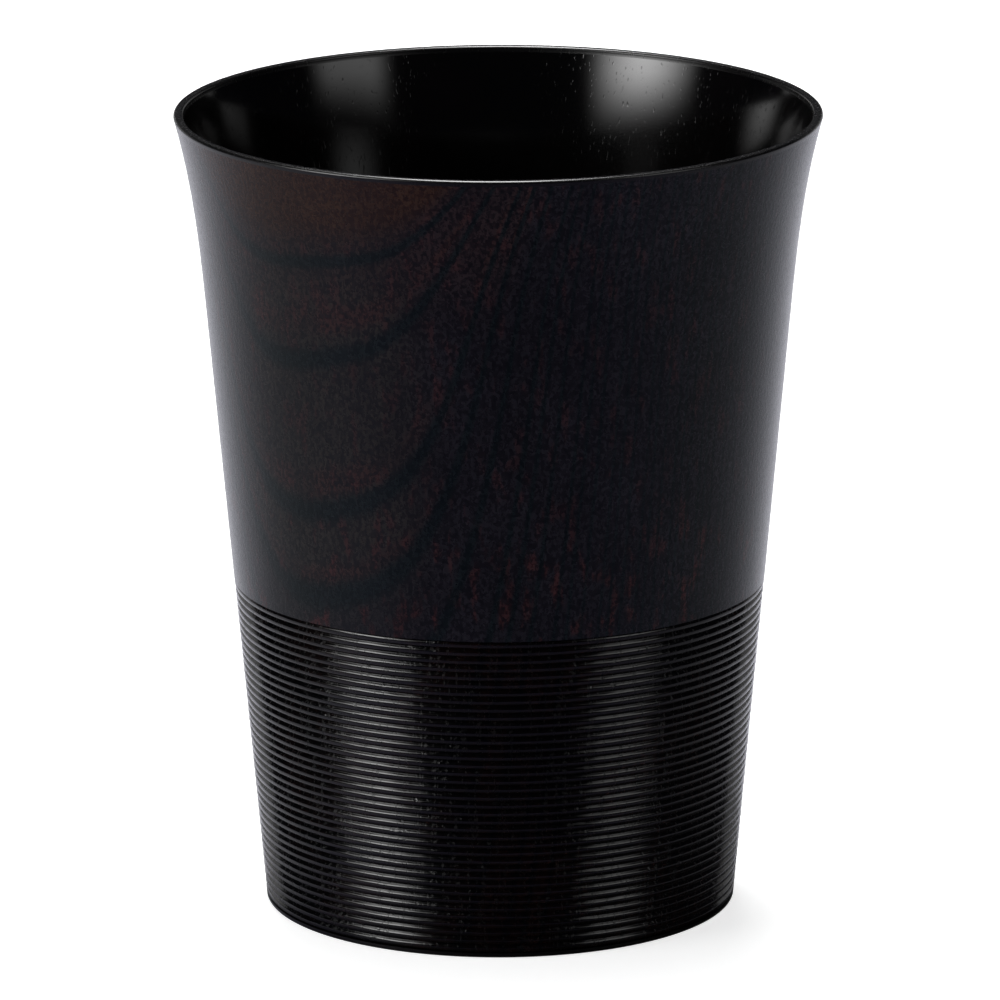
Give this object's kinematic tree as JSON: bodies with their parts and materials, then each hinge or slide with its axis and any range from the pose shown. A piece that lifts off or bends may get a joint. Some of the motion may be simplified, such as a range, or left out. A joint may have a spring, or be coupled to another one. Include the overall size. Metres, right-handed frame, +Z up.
{
  "type": "lacquered wooden cup",
  "caption": "Tapered wooden drinking cup with a thin flared lip, smooth grained upper wall, fine turned lines round the lower wall and gloss lacquer inside.",
  "frame": {"origin": "centre of the ring that the cup stands on, at table level", "axes": "+Z up along the axis of the cup; +X and +Y are alike, because the cup is round"},
  "size_m": [0.08, 0.08, 0.1],
  "materials": {
    "wood": "turned wood with the grain along the axis",
    "inner_lacquer": "gloss black lacquer with open pores",
    "rim_lacquer": "gloss black lacquer",
    "satin_lacquer": "satin dark brown lacquer with the wood grain showing through",
    "ribbed_lacquer": "gloss brown-black lacquer over turned lines",
    "base_lacquer": "half-gloss black lacquer"
  },
  "bodies": {
    "root": {"turned_wood_body": "wood", "inner_lacquer_coat": "inner_lacquer", "rim_lacquer_coat": "rim_lacquer", "upper_lacquer_coat": "satin_lacquer", "ribbed_lacquer_coat": "ribbed_lacquer", "base_lacquer_coat": "base_lacquer"}
  },
  "joints": []
}
